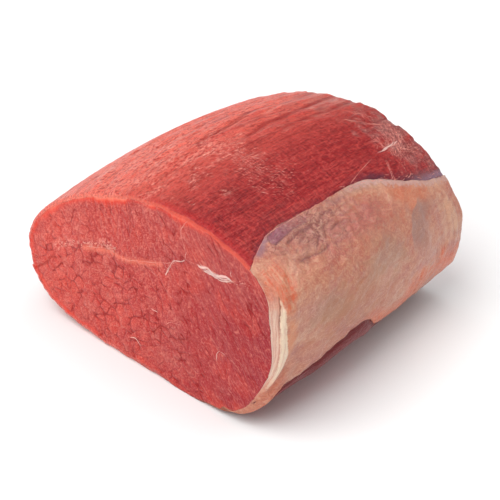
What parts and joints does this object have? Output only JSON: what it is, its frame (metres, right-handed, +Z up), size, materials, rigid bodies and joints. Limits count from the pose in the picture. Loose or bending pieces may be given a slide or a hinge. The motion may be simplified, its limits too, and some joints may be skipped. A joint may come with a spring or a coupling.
{
  "type": "raw beef roasting joint",
  "caption": "Raw beef roasting joint: a block of lean muscle cut square across the grain at both ends, with a layer of outer fat along one side.",
  "frame": {"origin": "middle of the footprint, on the surface that the joint rests on", "axes": "+X towards the fat side, +Y along the grain from the front cut to the back cut, +Z up"},
  "size_m": [0.1857, 0.1594, 0.1108],
  "materials": {
    "lean": "raw lean beef, moist, deep red on the outside and coral red on the cuts",
    "fat": "raw outer fat under thin silverskin, salmon to cream, softly moist"
  },
  "bodies": {
    "root": {"lean_muscle": "lean", "fat_cap": "fat"}
  },
  "joints": []
}
